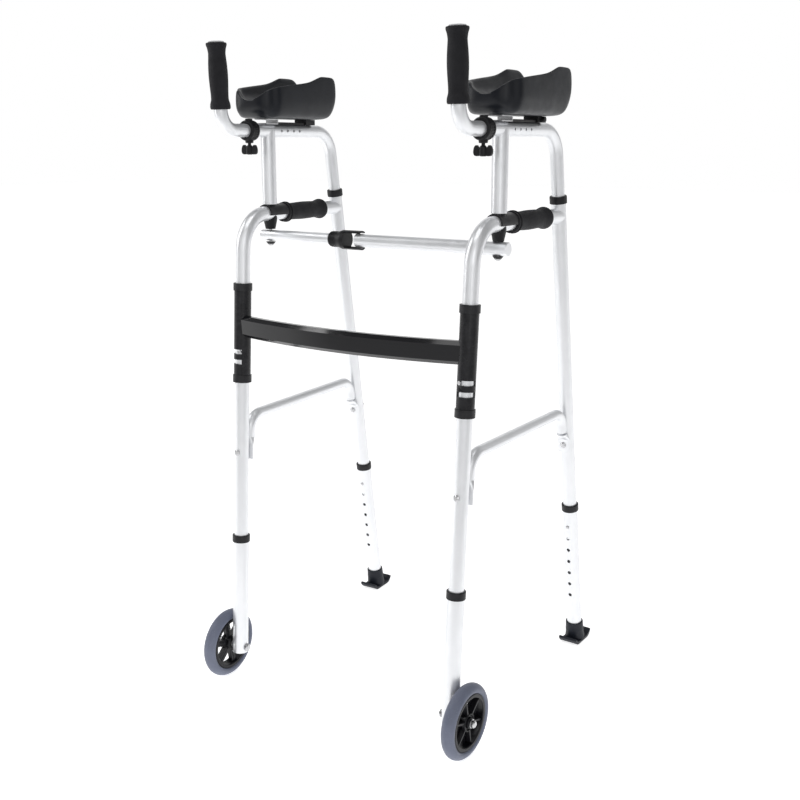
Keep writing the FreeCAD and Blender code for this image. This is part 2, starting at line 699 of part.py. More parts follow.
def make_foot():
    """A tapered collar on a ski-shaped glide that turns up at both ends."""
    collar, ext_r = size("foot_collar"), size("ext_od") / 2
    cup = turned("foot_cup", [(0, 5), (19.5, 5), (18.2, 14), (17.2, collar + 8), (16.4, collar + 9.5),
                              (ext_r + EXACT, collar + 9.5), (ext_r + EXACT, collar - 4 - EXACT),
                              (0, collar - 4 - EXACT)])
    on(rear_axis, cup)
    ski = new_body("foot_ski")
    sketch = new_sketch(ski, "YZ_Plane")
    half, thick, rise = size("foot_long") / 2, size("foot_thick"), size("foot_rise")
    polygon(sketch, [(-20, 0), (20, 0), (29, 3.5), (half, rise), (half - 4, rise + 3.5), (25, thick + 3.5),
                     (17, thick + 1), (-17, thick + 1), (-25, thick + 3.5), (4 - half, rise + 3.5),
                     (-half, rise), (-29, 3.5)])
    pad(ski, sketch, size("foot_wide"), midplane=True)
    ski.Placement = at(y=rear_y(as_size(0)) - 2)
    keep("glide_foot", fuse("glide_foot", cup, ski))


# ---------------------------------------------------------------- wheels

def axle_along():
    return size("wheel_dia") / 2 / cosine(front_lean)


def wheel_place():
    return front_axis.multiply(spin_place(size("wheel_place"), 0, axle_along(), ALONG_X))


def make_wheel():
    r, half = size("wheel_dia") / 2, size("wheel_wide") / 2
    seat = r - size("tyre_deep")
    tyre = turned("tyre", [(seat, 2 - half), (seat + 3, -half), (r - 5, -half), (r - 1.4, 3.4 - half),
                           (r, 7.5 - half), (r, half - 7.5), (r - 1.4, half - 3.4), (r - 5, half),
                           (seat + 3, half), (seat, half - 2)])
    tyre.Placement = wheel_place()
    keep("tyre", tyre)
    hub_r, bore = size("hub_dia") / 2, size("axle_dia") / 2 + size("slide_gap")
    rim = turned("wheel_rim", [(seat - 7, -9), (seat - EXACT, -9), (seat - EXACT, 9), (seat - 7, 9),
                               (seat - 5, 3), (seat - 5, -3)])
    boss = turned("wheel_boss", [(bore, -12), (hub_r - 4, -12), (hub_r, -8), (hub_r, 8),
                                 (hub_r - 3, 12), (bore, 12)])
    spokes = []
    for i in range(int(DIMENSIONS["spoke_count"])):
        spin = Rotation(Z_AXIS, 15 + 360 / DIMENSIONS["spoke_count"] * i)
        spoke = box("wheel_spoke_%d" % i, seat - hub_r - 4, size("spoke_wide"), 11)
        start = Vector((hub_r - 1.5).value, -size("spoke_wide").value / 2, -5.5)
        spoke.Placement = Placement(spin.multVec(start), spin)
        spokes.append(spoke)
    wheel = fuse("wheel_hub", rim, boss, *spokes)
    wheel.Placement = wheel_place()
    keep("wheel_hub", wheel)
    ext_r, shank = size("ext_od") / 2 + EXACT, size("axle_dia") / 2
    inner, outer = size("wheel_place") - 12.2, size("wheel_place") + 12.2
    axle = turned("axle_bolt", [(0, -ext_r - 5), (5, -ext_r - 5), (7, -ext_r - 3.4), (7, -ext_r),
                                (shank, -ext_r), (shank, ext_r), (8, ext_r), (8, inner),
                                (shank, inner), (shank, outer), (7.5, outer), (7.5, outer + 1.2),
                                (6.2, outer + 1.2), (6.2, outer + 5.2), (4.6, outer + 7), (0, outer + 7.4)])
    axle.Placement = front_axis.multiply(spin_place(0, 0, axle_along(), ALONG_X))
    keep("axle_bolt", axle)


# ---------------------------------------------------------------- arm pad and its bracket

def make_arm_pad():
    """A block with a forearm trough: narrowed at the front, and with wings raised at the rear."""
    front, rear, low = size("arm_front"), size("arm_rear"), size("arm_low")
    nose, wing, half = size("wing_front"), size("wing_rear"), size("arm_wide") / 2
    pad_body = new_body("arm_pad")
    sketch = new_sketch(pad_body, "YZ_Plane")
    polygon(sketch, [(front + 24, low), (rear - 22, low), (rear - 6, low + 22), (rear, low + 44),
                     (rear - 2, low + 60), (rear - 12, wing), (rear - 50, wing), (rear - 76, nose + 14),
                     (front + 14, nose), (front + 3, nose - 4), (front, nose - 16), (front + 6, low + 14)])
    pad(pad_body, sketch, size("arm_wide"), midplane=True)
    trough = new_sketch(pad_body, "XZ_Plane")
    radius = size("trough_radius")
    middle = size("trough_low") + radius
    corners = [(radius * math.cos(math.radians(a)), middle + radius * math.sin(math.radians(a)))
               for a in range(180, 361, 15)]
    polygon(trough, corners + [(radius, middle + 60), (-radius, middle + 60)])
    pocket(pad_body, trough, 900, midplane=True)
    for side in (1, -1):
        corner = new_sketch(pad_body, "XY_Plane")
        polygon(corner, [(side * 24, front - 2), (side * 24, front + 1), (side * 35, front + 7),
                         (side * 41, front + 16), (side * (half - 2), front + 24),
                         (side * (half + 1), front + 34), (side * (half + 1), front - 2)])
        pocket(pad_body, corner, 2500, midplane=True)
    keep("arm_pad", pad_body)


def make_pad_bracket():
    """Front plate bracket, sliding strip and rear block between platform tube and arm pad."""
    tube_top = size("platform_height") + size("upper_od") / 2
    low = size("arm_low")
    wide, plate, front, web = 26.0, 2.0, 112.0, 144.0
    plates = [box("bracket_foot", wide, web + plate - front, plate, at(x=-wide / 2, y=front, z=tube_top)),
              box("bracket_web", wide, plate, low - tube_top, at(x=-wide / 2, y=web, z=tube_top)),
              box("bracket_head", wide, web + plate - front, plate,
                  at(x=-wide / 2, y=front, z=low - plate)),
              cylinder("bracket_screw", SCREW_R, low - tube_top + SCREW_BITE,
                       at(y=PAD_SCREWS[0], z=tube_top - SCREW_BITE))]
    strip = box("bracket_strip", size("strip_wide"), size("strip_long"), size("strip_thick"),
                at(x=-size("strip_wide") / 2, y=web + plate + 1, z=tube_top))
    block = [box("bracket_block", wide, 28, low - tube_top, at(x=-wide / 2, y=PAD_SCREWS[1] - 14,
                                                               z=tube_top)),
             cylinder("bracket_block_screw", SCREW_R, 3, at(y=PAD_SCREWS[1], z=tube_top - SCREW_BITE))]
    keep("pad_bracket", group("pad_bracket", fuse("bracket_front", *plates), strip,
                              fuse("bracket_rear", *block)))


# ---------------------------------------------------------------- clamp ring, screw and handle

def make_clamp_ring():
    wide, place, high = size("ring_wide"), size("ring_place"), size("platform_height")
    outer, inner = size("ring_od") / 2, size("upper_od") / 2 + size("slide_gap")
    shell = cylinder("ring_shell", outer, wide, spin_place(0, place - wide / 2, high, ALONG_Y))
    boss = cylinder("ring_boss", 7.5, 14, at(y=place, z=high - outer - 4))
    lug = cylinder("ring_lug", 6.5, 9, at(y=place, z=high + outer - 6))
    bore = cylinder("ring_bore", inner, wide + 20, spin_place(0, place - wide / 2 - 10, high, ALONG_Y))
    thread = cylinder("ring_thread", 3, 40, at(y=place, z=high - 40))
    keep("clamp_ring", cut("clamp_ring", fuse("ring_body", shell, boss, lug),
                           fuse("ring_tools", bore, thread)))


def make_wing_screw():
    place, high = size("ring_place"), size("platform_height")
    core = turned("screw_core", [(0, -40), (5, -40), (6, -38), (6, -27), (4.4, -24), (2.9, -24),
                                 (2.9, -11.3), (0, -11.3)])
    core.Placement = at(y=place, z=high)
    wings = new_body("screw_wings")
    sketch = new_sketch(wings, "XZ_Plane")
    span = size("knob_span") / 2
    polygon(sketch, [(-5, -38), (-span + 4, -40), (-span, -34), (-span + 2, -25), (-span + 7, -23.5),
                     (-5, -29), (5, -29), (span - 7, -23.5), (span - 2, -25), (span, -34),
                     (span - 4, -40), (5, -38)])
    pad(wings, sketch, 6, midplane=True)
    wings.Placement = at(y=place, z=high)
    keep("wing_screw", fuse("wing_screw", core, wings))


def make_handle():
    turn = 90 - size("handle_lean")
    setback = size("handle_bend") * tangent(turn / 2)
    start = size("platform_end") - 0.2
    level = start - size("handle_place") - setback
    grip_top = size("grip_low") + size("grip_long")
    tube = bent_tube("handle_bent", size("upper_od"), size("tube_wall"),
                     [level, grip_top - setback - 1], [(size("handle_bend"), turn)])
    tube.Placement = spin_place(0, start, size("platform_height"), ALONG_MINUS_Y)
    spigot = turned("handle_spigot", [(0, -62), (size("spigot_od") / 2 - 1, -62),
                                      (size("spigot_od") / 2, -60), (size("spigot_od") / 2, 20),
                                      (0, 20)])
    spigot.Placement = spin_place(0, start, size("platform_height"), ALONG_MINUS_Y)
    keep("handle_tube", fuse("handle_tube", tube, spigot))

    upright = at(y=size("handle_place"), z=size("platform_height"), turn=(X_AXIS, size("handle_lean")))
    low, high, r = size("grip_low"), grip_top, size("grip_od") / 2
    inner = size("upper_od") / 2 + EXACT
    grip = turned("handle_grip", [(inner, low), (r, low), (r + 1.4, low + 3), (r + 1, low + 8),
                                  (r - 1.6, low + 15), (r - 0.4, low + 34), (r + 0.4, low + 55),
                                  (r - 0.8, high - 20), (r - 1.4, high - 14), (r + 1.2, high - 6),
                                  (r + 1.4, high - 3), (r, high), (inner, high)])
    grip.Placement = upright
    keep("handle_grip", grip)
    bore = size("upper_od") / 2 - size("tube_wall") - EXACT
    cap = turned("handle_cap", [(0, high - 14), (bore - 1, high - 14), (bore, high - 12),
                                (bore, high + EXACT), (13, high + EXACT), (13, high + 2),
                                (11, high + 4), (0, high + 4.6)])
    cap.Placement = upright
    keep("handle_cap", cap)


# ---------------------------------------------------------------- stabiliser bar

def pivot_x():
    """Distance of the pivot bolt from the middle, with the side frame toed out."""
    behind = size("post_place") - front_y(size("bar_height"))
    return size("half_width") + behind * sine(size("toe_out"))


def bar_half(name, outer, inner_end, side):
    """One tube of the stabiliser bar, along X, with its end plug and its pivot hole."""
    out = pivot_x() + size("bar_right_out" if side > 0 else "bar_left_out")
    run = out - inner_end
    tube = straight_tube(name + "_straight", outer, size("bar_wall"), 0, run)
    hole = cylinder(name + "_hole", size("pivot_dia") / 2 + size("slide_gap"), 60)
    hole.Placement = spin_place(30, 0, out - pivot_x(), Rotation(Y_AXIS, -90))
    bore = outer / 2 - size("bar_wall") - EXACT
    plug = turned(name + "_plug", [(0, -2.5), (outer / 2 - 1, -2.5), (outer / 2, -1.2), (outer / 2, -EXACT),
                                   (bore, -EXACT), (bore, 8), (0, 8)])
    bar = group(name, cut(name + "_cut", tube, hole), plug)
    turn = Rotation(Y_AXIS, -90 * side)
    bar.Placement = spin_place(out * side, size("post_place"), size("bar_height"), turn)
    return bar


def make_bars():
    keep("right_bar_tube", bar_half("right_bar_tube", size("bar_right_od"), -size("bar_right_tip"), 1))
    keep("left_bar_tube", bar_half("left_bar_tube", size("bar_left_od"), size("bar_left_tip"), -1))


def make_coupler():
    """A barrel on the left bar with an open fork that takes the end of the right bar."""
    left, web, right = size("coupler_from"), size("coupler_web"), size("coupler_to")
    outer, bar_r = size("coupler_od") / 2, size("bar_left_od") / 2 + EXACT
    shape = turned("coupler_barrel", [(bar_r, 0), (bar_r + 2.5, 0), (bar_r + 3.6, 2),
                                      (bar_r + 3.6, left - web - 10), (outer, left - web - 2),
                                      (outer, left - right), (bar_r + 3.4, left - right),
                                      (bar_r + 3.4, left - web), (0, left - web),
                                      (0, left - size("bar_left_tip") + EXACT),
                                      (bar_r, left - size("bar_left_tip") + EXACT)])
    mouth = box("coupler_mouth", 26, 60, left, at(x=-13, y=-30, z=left - web))
    coupler = cut("bar_coupler", shape, mouth)
    coupler.Placement = spin_place(-left, size("post_place"), size("bar_height"), ALONG_X)
    keep("bar_coupler", coupler)


# ---------------------------------------------------------------- assembly

SIDE_MAKERS = (make_side_tube, make_rear_leg, make_platform, make_saddle, make_spacers, make_brace,
               make_bolts, make_hand_grip, make_fold_button, make_front_extension,
               make_rear_extension, make_snap_buttons, make_foot, make_wheel, make_arm_pad,
               make_pad_bracket, make_clamp_ring, make_wing_screw, make_handle)

for make in SIDE_MAKERS:
    make()
doc.recompute()

# the side frame stands on its front leg axis, toed out about it
toe = Placement(Vector(size("half_width").value, 0, 0), Rotation()).multiply(
    Placement(Vector(), Rotation(front_axis.multVec(Z_AXIS), -size("toe_out").value)))
for shape in pieces.values():
    shape.Placement = toe.multiply(shape.Placement)

mirrored = list(pieces)
make_sleeves()
make_crossbeam()
make_bars()
make_coupler()
doc.recompute()

for shape in pieces.values():
    shape.Placement = at(y=-size("middle_y"), z=size("floor_lift")).multiply(shape.Placement)
for node in mirrored:
    source = pieces.pop(node)
    source.Label = "right_" + node
    pieces["right_" + node] = source
    keep("left_" + node, mirror("left_" + node, source))
doc.recompute()

# ---------------------------------------------------------------- checks and export

failed = [o.Name for o in doc.Objects if {"Invalid", "Error"} & set(o.State)]
failed += [n for n, o in pieces.items() if o.Shape.isNull() or not o.Shape.isValid()]
if failed:
    raise SystemExit("not built: " + ", ".join(failed))
os.makedirs("parts", exist_ok=True)
for node, piece in sorted(pieces.items()):
    piece.Shape.exportStep("parts/%s.step" % node)
whole = Part.makeCompound([piece.Shape for piece in pieces.values()]).BoundBox
print("%d nodes, box X %.3f %.3f  Y %.3f %.3f  Z %.3f %.3f" % (
    len(pieces), whole.XMin, whole.XMax, whole.YMin, whole.YMax, whole.ZMin, whole.ZMax))
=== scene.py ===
"""Looks of a folding walking frame with forearm platforms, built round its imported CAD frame.

The scene is in metres, +Z up, wheels towards -Y.  Shapes are given in millimetres, and lathe, slab,
brick and moved turn them into metres.  Pieces that come in pairs are modelled once, in the plane of
the right-hand side frame, and the left-hand ones are their mirror images.
"""
import json
import math

import bmesh
import bpy
from mathutils import Matrix, Vector


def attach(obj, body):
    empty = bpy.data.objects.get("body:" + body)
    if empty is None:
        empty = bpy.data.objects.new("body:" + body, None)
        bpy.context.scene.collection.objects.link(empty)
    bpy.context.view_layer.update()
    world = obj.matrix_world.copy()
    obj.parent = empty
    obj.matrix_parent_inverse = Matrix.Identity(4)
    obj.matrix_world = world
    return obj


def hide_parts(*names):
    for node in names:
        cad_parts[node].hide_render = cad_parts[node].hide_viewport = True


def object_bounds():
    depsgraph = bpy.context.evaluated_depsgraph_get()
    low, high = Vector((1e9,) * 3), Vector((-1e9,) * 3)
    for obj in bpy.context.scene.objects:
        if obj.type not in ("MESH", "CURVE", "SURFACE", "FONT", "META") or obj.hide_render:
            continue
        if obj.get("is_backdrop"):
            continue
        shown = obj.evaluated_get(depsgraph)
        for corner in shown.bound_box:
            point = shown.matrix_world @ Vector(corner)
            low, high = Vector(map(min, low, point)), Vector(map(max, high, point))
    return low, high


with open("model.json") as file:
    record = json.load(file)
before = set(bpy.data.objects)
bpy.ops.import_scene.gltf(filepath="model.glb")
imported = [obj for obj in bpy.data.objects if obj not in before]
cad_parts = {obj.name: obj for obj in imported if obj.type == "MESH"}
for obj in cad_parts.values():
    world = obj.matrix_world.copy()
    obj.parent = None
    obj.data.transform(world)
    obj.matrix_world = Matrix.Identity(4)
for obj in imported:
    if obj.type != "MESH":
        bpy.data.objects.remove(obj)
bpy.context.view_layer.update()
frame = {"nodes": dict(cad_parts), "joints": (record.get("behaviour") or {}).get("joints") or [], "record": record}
JOINTS = {joint["name"]: joint for joint in frame["joints"]}
NODES = frame["nodes"]
MM = 0.001


# ---------------------------------------------------------------- places

def moved(x=0.0, y=0.0, z=0.0):
    return Matrix.Translation((x * MM, y * MM, z * MM))


def turned(degrees, axis):
    return Matrix.Rotation(math.radians(degrees), 4, axis)


def side_plane():
    """Matrix from the right-hand side frame's own plane (x out, y back, z up) to the row frame."""
    hinge = JOINTS["right_fold"]
    axis = Vector(hinge["axis"])
    pivot = Vector(hinge["pos_m"])
    out = Vector(JOINTS["right_wheel_spin"]["axis"])
    back = -Vector(JOINTS["right_handle_reach"]["axis"])
    up = out.cross(back)
    turn = Matrix((out, back, up)).transposed().to_4x4()
    height = pivot.z
    own_pivot = Vector((0, height * axis.y / axis.z, height))
    return Matrix.Translation(pivot) @ turn @ Matrix.Translation(-own_pivot)


MIRROR = Matrix.Diagonal((-1, 1, 1, 1))
PLANE = {"right": side_plane(), "left": MIRROR @ side_plane()}
FRONT_LEAN, REAR_LEAN = 3.8, 9.5    # degrees: the front leg leans back, the rear leg forwards
REAR_BASE = 486                     # where the rear leg's axis meets the floor
FRONT_AXIS = turned(-FRONT_LEAN, "X")
REAR_AXIS = moved(y=REAR_BASE) @ turned(REAR_LEAN, "X")
ALONG_X = turned(90, "Y")
ALONG_Y = turned(-90, "X")


# ---------------------------------------------------------------- materials

NOISE_ROUGHNESS = 0.55
USUAL_NOISE = (0.3, 0.7)            # most values of a noise texture lie between these
RUBBED_EDGE = (0.53, 0.62)          # pointiness where an edge starts to be rubbed, and is bare
RUBBED_SCALE = 90.0                 # noise that breaks up the rubbed edges
SHINE_SCALE = 60.0                  # noise that varies the roughness
LEAST_ROUGHNESS = 0.03
COAT_ROUGHNESS = 0.08
MIX_FROM, MIX_TO, MIX_RESULT = 6, 7, 2  # colour sockets of the mix node


class Paint:
    """A Principled material with its nodes laid out from texture coordinates to surface."""

    def __init__(self, name, colour, roughness, metallic=0.0):
        self.material = bpy.data.materials.new(name)
        self.material.use_nodes = True
        self.nodes = self.material.node_tree.nodes
        self.links = self.material.node_tree.links
        self.surface = self.nodes["Principled BSDF"]
        self.surface.inputs["Metallic"].default_value = metallic
        self.place = self.nodes.new("ShaderNodeTexCoord").outputs["Object"]
        self.colour, self.roughness = (*colour, 1.0), roughness
        self.shade = None
        self.bump = None

    def noise(self, scale, detail=4.0, stretch=None):
        node = self.nodes.new("ShaderNodeTexNoise")
        node.inputs["Scale"].default_value = scale
        node.inputs["Detail"].default_value = detail
        node.inputs["Roughness"].default_value = NOISE_ROUGHNESS
        place = self.place
        if stretch is not None:
            mapping = self.nodes.new("ShaderNodeMapping")
            mapping.inputs["Scale"].default_value = stretch
            self.links.new(place, mapping.inputs["Vector"])
            place = mapping.outputs["Vector"]
        self.links.new(place, node.inputs["Vector"])
        return node.outputs["Fac"]

    def cells(self, scale, feature="F1"):
        node = self.nodes.new("ShaderNodeTexVoronoi")
        node.feature = feature
        node.inputs["Scale"].default_value = scale
        self.links.new(self.place, node.inputs["Vector"])
        return node.outputs["Distance"]

    def spread(self, value, low, high, window=USUAL_NOISE):
        """Values from one end of the window to the other become low to high."""
        node = self.nodes.new("ShaderNodeMapRange")
        for key, number in zip(("From Min", "From Max", "To Min", "To Max"), (*window, low, high)):
            node.inputs[key].default_value = number
        self.links.new(value, node.inputs["Value"])
        return node.outputs["Result"]

    def tint(self, factor, colour):
        """Blends the colour so far towards another one."""
        mix = self.nodes.new("ShaderNodeMix")
        mix.data_type = "RGBA"
        self.links.new(factor, mix.inputs["Factor"])
        if self.shade is None:
            mix.inputs[MIX_FROM].default_value = self.colour
        else:
            self.links.new(self.shade, mix.inputs[MIX_FROM])
        mix.inputs[MIX_TO].default_value = (*colour, 1.0)
        self.shade = mix.outputs[MIX_RESULT]

    def mottle(self, colour, scale, amount, detail=4.0, window=USUAL_NOISE):
        """Noisy patches of another colour, up to the given amount of it."""
        self.tint(self.spread(self.noise(scale, detail), 0.0, amount, window), colour)

    def emboss(self, height, strength, depth):
        """Bumps that follow the height, laid over those so far; the depth is in millimetres."""
        node = self.nodes.new("ShaderNodeBump")
        node.inputs["Strength"].default_value = strength
        node.inputs["Distance"].default_value = depth * MM
        self.links.new(height, node.inputs["Height"])
        if self.bump is not None:
            self.links.new(self.bump, node.inputs["Normal"])
        self.bump = node.outputs["Normal"]

    def grain(self, scale, strength, depth, detail=4.0, stretch=None):
        self.emboss(self.noise(scale, detail, stretch), strength, depth)

    def worn_edges(self, colour, amount):
        """Lighter rubbed edges, broken up by noise."""
        point = self.nodes.new("ShaderNodeNewGeometry").outputs["Pointiness"]
        edge = self.spread(point, 0.0, amount, RUBBED_EDGE)
        patch = self.spread(self.noise(RUBBED_SCALE), 0.2, 1.0)
        both = self.nodes.new("ShaderNodeMath")
        both.operation = "MULTIPLY"
        self.links.new(edge, both.inputs[0])
        self.links.new(patch, both.inputs[1])
        self.tint(both.outputs[0], colour)

    def finish(self, variation, coat=0.0, sheen=0.0, specular=0.5):
        """Joins it all to the surface; the roughness varies by this much either way."""
        smoothest = max(self.roughness - variation, LEAST_ROUGHNESS)
        shine = self.spread(self.noise(SHINE_SCALE), smoothest, self.roughness + variation)
        self.links.new(shine, self.surface.inputs["Roughness"])
        self.links.new(self.shade, self.surface.inputs["Base Color"])
        self.links.new(self.bump, self.surface.inputs["Normal"])
        for key, number in (("Coat Weight", coat), ("Coat Roughness", COAT_ROUGHNESS),
                            ("Sheen Weight", sheen), ("Specular IOR Level", specular)):
            self.surface.inputs[key].default_value = number
        return self.material


def silver_tube():
    """Satin clear-anodised aluminium: pale, softly reflecting, with fine drawing marks."""
    paint = Paint("silver_tube", colour=(0.86, 0.87, 0.89), roughness=0.36, metallic=0.7)
    paint.mottle((0.78, 0.795, 0.82), scale=14.0, amount=0.4)
    paint.mottle((0.86, 0.865, 0.875), scale=260.0, amount=0.18, detail=2.0)
    paint.grain(scale=900.0, strength=0.05, depth=0.2, detail=3.0, stretch=(1.0, 1.0, 0.06))
    return paint.finish(variation=0.07)


def zinc_steel():
    """Galvanised steel of the bolts and screws."""
    paint = Paint("zinc_steel", colour=(0.60, 0.60, 0.61), roughness=0.30, metallic=1.0)
    paint.mottle((0.46, 0.465, 0.48), scale=120.0, amount=0.6)
    paint.grain(scale=1400.0, strength=0.12, depth=0.2)
    return paint.finish(variation=0.10)


def foam_grip():
    """Closed-cell foam: matt black skin with fine pores, their pits darkened by painted shade, and a soft sheen.
    """
    paint = Paint("foam_grip", colour=(0.008, 0.008, 0.010), roughness=0.72)
    paint.mottle((0.014, 0.014, 0.017), scale=45.0, amount=0.8)
    pores = paint.cells(scale=1500.0)
    # painted shade: each pore's centre, where the bump below sinks it, is tinted nearly black
    paint.tint(paint.spread(pores, low=0.35, high=0.0, window=(0.0, 0.35)), (0.003, 0.003, 0.003))
    paint.emboss(pores, strength=0.45, depth=0.4)
    paint.grain(scale=220.0, strength=0.25, depth=0.6)
    return paint.finish(variation=0.08, sheen=0.04, specular=0.25)


def pad_skin():
    """Self-skinned moulded foam: charcoal, satin, with a fine leather-like grain."""
    paint = Paint("pad_skin", colour=(0.007, 0.008, 0.011), roughness=0.36)
    paint.mottle((0.011, 0.013, 0.018), scale=22.0, amount=0.7)
    paint.emboss(paint.cells(scale=700.0, feature="SMOOTH_F1"), strength=0.16, depth=0.4)
    paint.grain(scale=60.0, strength=0.12, depth=1.2, detail=6.0)
    return paint.finish(variation=0.07, specular=0.28)


def tyre_rubber():
    """Blue-grey polyurethane with faint scuffs."""
    paint = Paint("tyre_rubber", colour=(0.155, 0.172, 0.235), roughness=0.48)
    paint.mottle((0.115, 0.128, 0.18), scale=35.0, amount=0.6, detail=8.0)
    paint.mottle((0.25, 0.27, 0.33), scale=400.0, amount=0.5, window=(0.6, 0.75))
    paint.grain(scale=700.0, strength=0.15, depth=0.4, detail=5.0)
    return paint.finish(variation=0.08, specular=0.4)


def black_plastic(name, colour=(0.007, 0.007, 0.008), roughness=0.38, grain=0.14):
    """Moulded plastic: near black, spark-eroded grain, edges rubbed a little lighter."""
    paint = Paint(name, colour, roughness)
    paint.mottle(tuple(1.6 * part for part in colour), scale=40.0, amount=0.6)
    paint.worn_edges((0.05, 0.05, 0.055), amount=0.4)
    paint.grain(scale=1600.0, strength=grain, depth=0.3, detail=3.0)
    return paint.finish(variation=0.07, specular=0.25)


def gloss_black():
    """Glossy lacquer of the crossbeam, very slightly wavy."""
    paint = Paint("gloss_black", colour=(0.003, 0.003, 0.004), roughness=0.12)
    paint.mottle((0.006, 0.006, 0.009), scale=8.0, amount=0.5)
    paint.grain(scale=55.0, strength=0.035, depth=1.2, detail=2.0)
    return paint.finish(variation=0.04, coat=0.25, specular=0.4)


def grey_cap():
    """Light grey moulded plastic of the handles' end caps."""
    paint = Paint("grey_cap", colour=(0.52, 0.52, 0.53), roughness=0.5)
    paint.mottle((0.44, 0.44, 0.46), scale=70.0, amount=0.6)
    paint.grain(scale=900.0, strength=0.15, depth=0.3)
    return paint.finish(variation=0.08)


MATERIALS = {
    "silver_tube": silver_tube(), "steel": zinc_steel(), "foam": foam_grip(),
    "pad_cover": pad_skin(), "tyre": tyre_rubber(), "gloss_black": gloss_black(),
    "grey_cap": grey_cap(),
    "sleeve_black": black_plastic("sleeve_black", (0.005, 0.005, 0.006), 0.24, 0.05),
    "rubber_foot": black_plastic("rubber_foot", (0.010, 0.012, 0.018), 0.46, 0.25),
    "hub_black": black_plastic("hub_black", (0.006, 0.006, 0.008), 0.34),
    "black_plastic": black_plastic("black_plastic"),
}


# ---------------------------------------------------------------- meshes

BEVEL_SEGMENTS, BEVEL_ANGLE = 3, math.radians(28)
ROUND, FINE, FINEST = 72, 96, 120   # sides of a turned shape


def lathe(profile, segments=ROUND):
    """A closed solid turned about Z from (radius, height) corners; radius 0 closes an end."""
    mesh = bmesh.new()
    rings = []
    for radius, height in profile:
        if radius == 0:
            rings.append([mesh.verts.new((0, 0, height * MM))])
            continue
        rings.append([mesh.verts.new((radius * MM * math.cos(2 * math.pi * i / segments),
                                      radius * MM * math.sin(2 * math.pi * i / segments),
                                      height * MM)) for i in range(segments)])
    hollow = len(rings[0]) > 1
    pairs = list(zip(rings, rings[1:])) + ([(rings[-1], rings[0])] if hollow else [])
    for low, high in pairs:
        for i in range(segments):
            j = (i + 1) % segments
            corners = (low[i % len(low)], low[j % len(low)],
                       high[j % len(high)], high[i % len(high)])
            unique = list(dict.fromkeys(corners))
            if len(unique) > 2:
                mesh.faces.new(unique)
    bmesh.ops.recalc_face_normals(mesh, faces=mesh.faces)
    return mesh


def curve_through(points, steps=6):
    """A smooth run of points through the given corners."""
    out = []
    for i in range(len(points) - 1):
        before = points[max(i - 1, 0)]
        after = points[min(i + 2, len(points) - 1)]
        for k in range(steps):
            t = k / steps
            out.append(tuple(
                0.5 * (2 * b + (c - a) * t + (2 * a - 5 * b + 4 * c - d) * t * t
                       + (3 * b - a - 3 * c + d) * t ** 3)
                for a, b, c, d in zip(before, points[i], points[i + 1], after)))
    return out + [points[-1]]


def slab(outline, low, high):
    """A flat outline in the YZ plane, given thickness from x = low to x = high."""
    mesh = bmesh.new()
    near = [mesh.verts.new((low * MM, y * MM, z * MM)) for y, z in outline]
    far = [mesh.verts.new((high * MM, y * MM, z * MM)) for y, z in outline]
    mesh.faces.new(near)
    mesh.faces.new(far)
    for i in range(len(outline)):
        j = (i + 1) % len(outline)
        mesh.faces.new((near[i], near[j], far[j], far[i]))
    bmesh.ops.recalc_face_normals(mesh, faces=mesh.faces)
    return mesh


def brick(size, centre):
    mesh = bmesh.new()
    bmesh.ops.create_cube(mesh, size=1.0)
    bmesh.ops.scale(mesh, vec=Vector(size) * MM, verts=mesh.verts)
    bmesh.ops.translate(mesh, vec=Vector(centre) * MM, verts=mesh.verts)
    return mesh


def join(*meshes):
    whole = bmesh.new()
    for mesh in meshes:
        data = bpy.data.meshes.new("part")
        mesh.to_mesh(data)
        whole.from_mesh(data)
        bpy.data.meshes.remove(data)
        mesh.free()
    return whole


def shifted(mesh, matrix):
    mesh.transform(matrix)
    return mesh


def piece(name, mesh, slot, body, replaces, bevel=0.0, subdivide=0):
    """One finished object: smooth-shaded, softened, given its material and its body."""
    data = bpy.data.meshes.new(name)
    mesh.to_mesh(data)
    mesh.free()
    data.shade_smooth()
    data.materials.append(MATERIALS[slot])
    obj = bpy.data.objects.new(name, data)
    bpy.context.scene.collection.objects.link(obj)
    if bevel:
        soften = obj.modifiers.new("soften", "BEVEL")
        soften.width, soften.segments = bevel * MM, BEVEL_SEGMENTS
        soften.limit_method, soften.angle_limit = "ANGLE", BEVEL_ANGLE
        soften.use_clamp_overlap = True
        obj.modifiers.new("normals", "WEIGHTED_NORMAL").keep_sharp = True
    if subdivide:
        smooth = obj.modifiers.new("smooth", "SUBSURF")
        smooth.levels = smooth.render_levels = subdivide
    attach(obj, body)
    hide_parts(*replaces)
    return obj


def pair(name, make, slot, body, node, **finish):
    """The right-hand and the left-hand piece of one kind."""
    made = []
    for side in ("right", "left"):
        mesh = shifted(make(), PLANE[side])
        if side == "left":
            bmesh.ops.reverse_faces(mesh, faces=mesh.faces)
        hidden = ("%s_%s" % (side, node),)
        made.append(piece("%s_%s" % (side, name), mesh, slot, "%s_%s" % (side, body), hidden,
                          **finish))
    return made


# ---------------------------------------------------------------- arm pads

